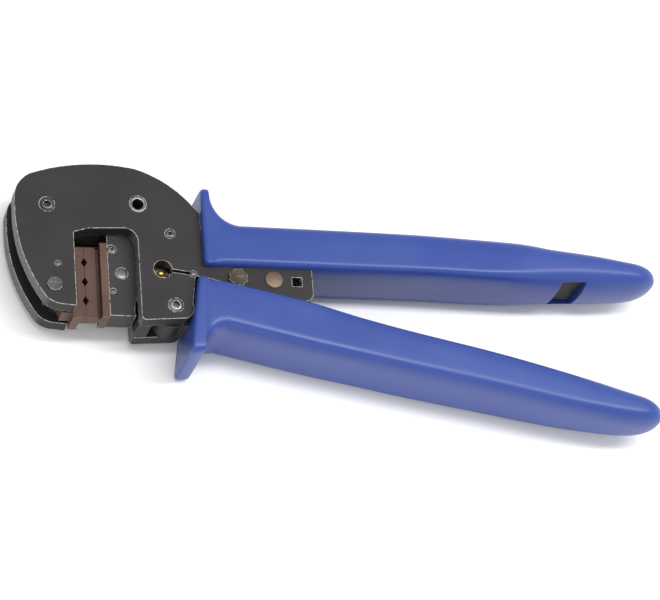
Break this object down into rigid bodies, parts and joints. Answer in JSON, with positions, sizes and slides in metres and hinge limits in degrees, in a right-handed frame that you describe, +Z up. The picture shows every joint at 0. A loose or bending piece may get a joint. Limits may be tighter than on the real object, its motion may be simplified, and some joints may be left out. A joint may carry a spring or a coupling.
{
  "type": "ratchet crimping pliers",
  "caption": "Sliding-jaw ratchet crimping pliers with thick dark cheek plates, an exchangeable three-nest die set and blue moulded grips with finger guards, shown closed.",
  "frame": {"origin": "middle of the tool's bounding box at floor level, the tool lying flat with its handles closed", "axes": "+X from the jaws to the handle ends, +Y to the fixed handle's side, +Z up out of the front cheek plate"},
  "size_m": [0.201, 0.0764, 0.025],
  "materials": {
    "burnished_steel": "near-black burnished, satin",
    "dark_ground_steel": "dark ground steel, lightly oiled",
    "fastener_steel": "bright turned steel",
    "brass": "turned brass",
    "spring_steel": "drawn spring wire",
    "die_bronze": "reddish-brown burnished tool steel",
    "blue_grip": "moulded plastic, soft satin"
  },
  "bodies": {
    "frame": {"front_cheek_plate": "burnished_steel", "back_cheek_plate": "burnished_steel", "fixed_jaw_block": "dark_ground_steel", "top_spacer_block": "dark_ground_steel", "lower_slide_guide": "dark_ground_steel", "cheek_bolt": "fastener_steel", "cheek_barrel_nut": "fastener_steel", "locator_bush": "fastener_steel", "spacer_screw": "fastener_steel", "main_pivot_bolt": "fastener_steel", "main_pivot_nut": "fastener_steel", "main_pivot_sleeve": "fastener_steel", "fixed_die_screw": "fastener_steel", "fixed_die_dowel": "fastener_steel", "spring_anchor_pin": "fastener_steel", "fixed_die": "die_bronze", "tang_bar": "dark_ground_steel", "tang_rivets": "fastener_steel", "upper_grip": "blue_grip", "return_spring": "spring_steel", "pawl_pin": "brass", "pawl_pin_ring": "fastener_steel", "pawl_spring": "spring_steel", "pawl_spring_post": "fastener_steel"},
    "moving_handle": {"front_lever_plate": "dark_ground_steel", "back_lever_plate": "dark_ground_steel", "ratchet_sector": "dark_ground_steel", "lever_spacer": "dark_ground_steel", "sector_rivets": "fastener_steel", "lever_rivets": "fastener_steel", "toggle_pin": "brass", "lower_grip": "blue_grip"},
    "toggle_link": {"toggle_link": "dark_ground_steel"},
    "jaw_slide": {"moving_jaw_slide": "dark_ground_steel", "moving_die": "die_bronze", "moving_die_screw": "fastener_steel", "moving_die_dowel": "fastener_steel", "slide_pin": "fastener_steel"},
    "pawl": {"pawl": "dark_ground_steel"},
    "adjusting_wheel": {"adjusting_wheel": "fastener_steel"}
  },
  "joints": [
    {"name": "handle_pivot", "type": "hinge", "parent": "frame", "child": "moving_handle", "pos_m": [-0.05426, -0.00599, 0.0125], "axis": [0, 0, -1], "range_deg": [0, 28], "deforming": ["return_spring"]},
    {"name": "toggle_pivot", "type": "hinge", "parent": "moving_handle", "child": "toggle_link", "pos_m": [-0.05746, 0.00531, 0.0125], "axis": [0, 0, 1], "range_deg": [0, 28]},
    {"name": "jaw_travel", "type": "slide", "parent": "frame", "child": "jaw_slide", "axis": [1, 0, 0], "range_m": [0, 0.0057]},
    {"name": "pawl_pivot", "type": "hinge", "parent": "frame", "child": "pawl", "pos_m": [-0.02416, 0.00321, 0.0125], "axis": [0, 0, 1], "range_deg": [-14, 14], "stiffness_Nm_per_rad": 0.02, "deforming": ["pawl_spring"]},
    {"name": "wheel_turn", "type": "hinge", "parent": "frame", "child": "adjusting_wheel", "pos_m": [-0.03506, 0.00331, 0.0225], "axis": [0, 0, 1], "range_deg": [-135, 135]}
  ],
  "couplings": [
    {"joint": "toggle_pivot", "follows": "handle_pivot", "ratio": 1},
    {"joint": "jaw_travel", "follows": "handle_pivot", "m_per_rad": 0.011622}
  ]
}
